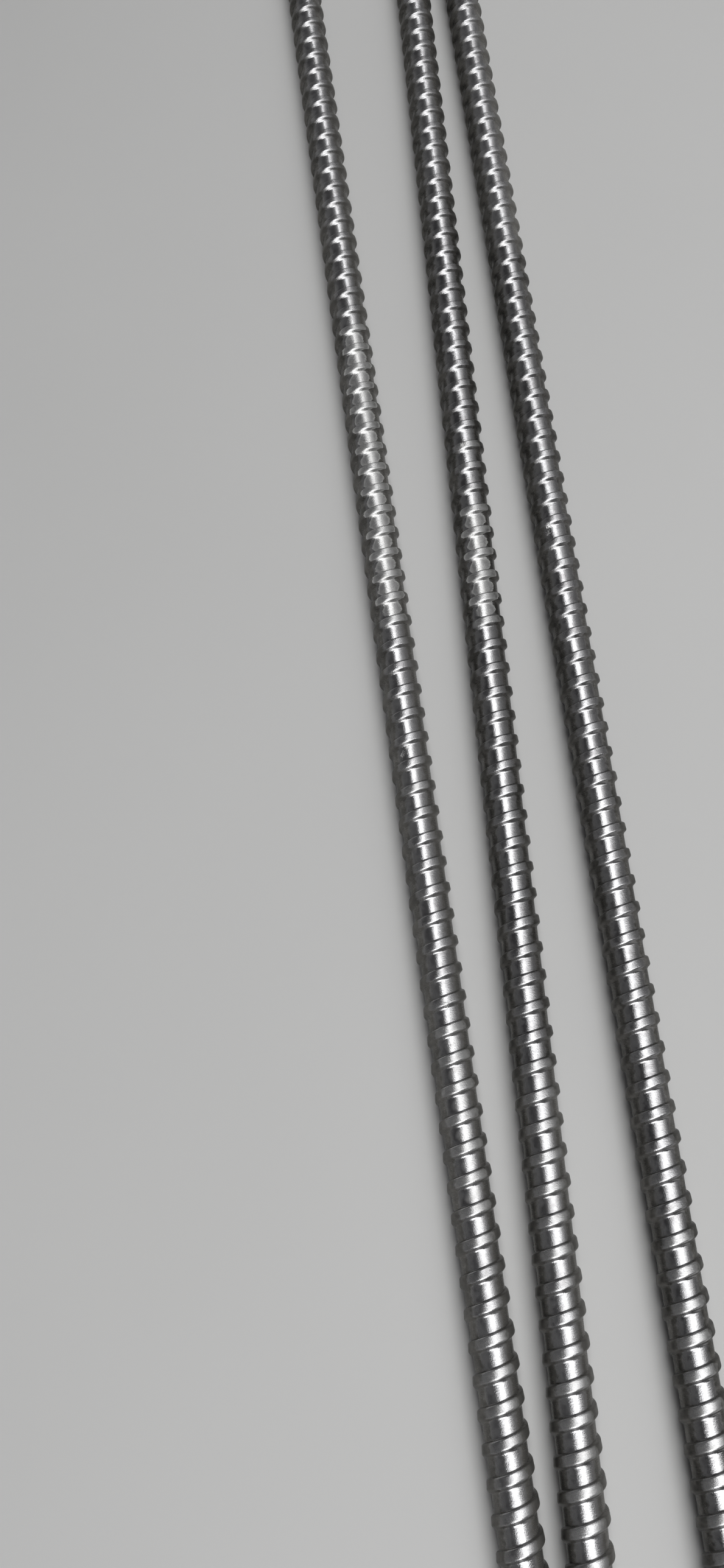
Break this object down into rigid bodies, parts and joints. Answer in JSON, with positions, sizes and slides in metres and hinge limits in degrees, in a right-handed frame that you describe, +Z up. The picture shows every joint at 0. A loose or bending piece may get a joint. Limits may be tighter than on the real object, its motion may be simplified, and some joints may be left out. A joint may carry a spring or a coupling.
{
  "type": "bundle of thread-ribbed steel tie bars",
  "caption": "Loose bundle of straight round steel bars lying side by side, each with a coarse right-hand rolled rib that takes a nut anywhere along its length.",
  "frame": {"origin": "on the floor, under the middle of the footprint of all the bars together", "axes": "+Y runs along the bars, away from the picture's viewer, +X is to the viewer's right and +Z is up from the floor"},
  "size_m": [0.095, 0.759, 0.0162],
  "materials": {
    "bright_steel": "bright cold-rolled, lightly scuffed"
  },
  "bodies": {
    "root": {"bar_left": "bright_steel", "bar_middle": "bright_steel", "bar_right": "bright_steel"}
  },
  "joints": []
}
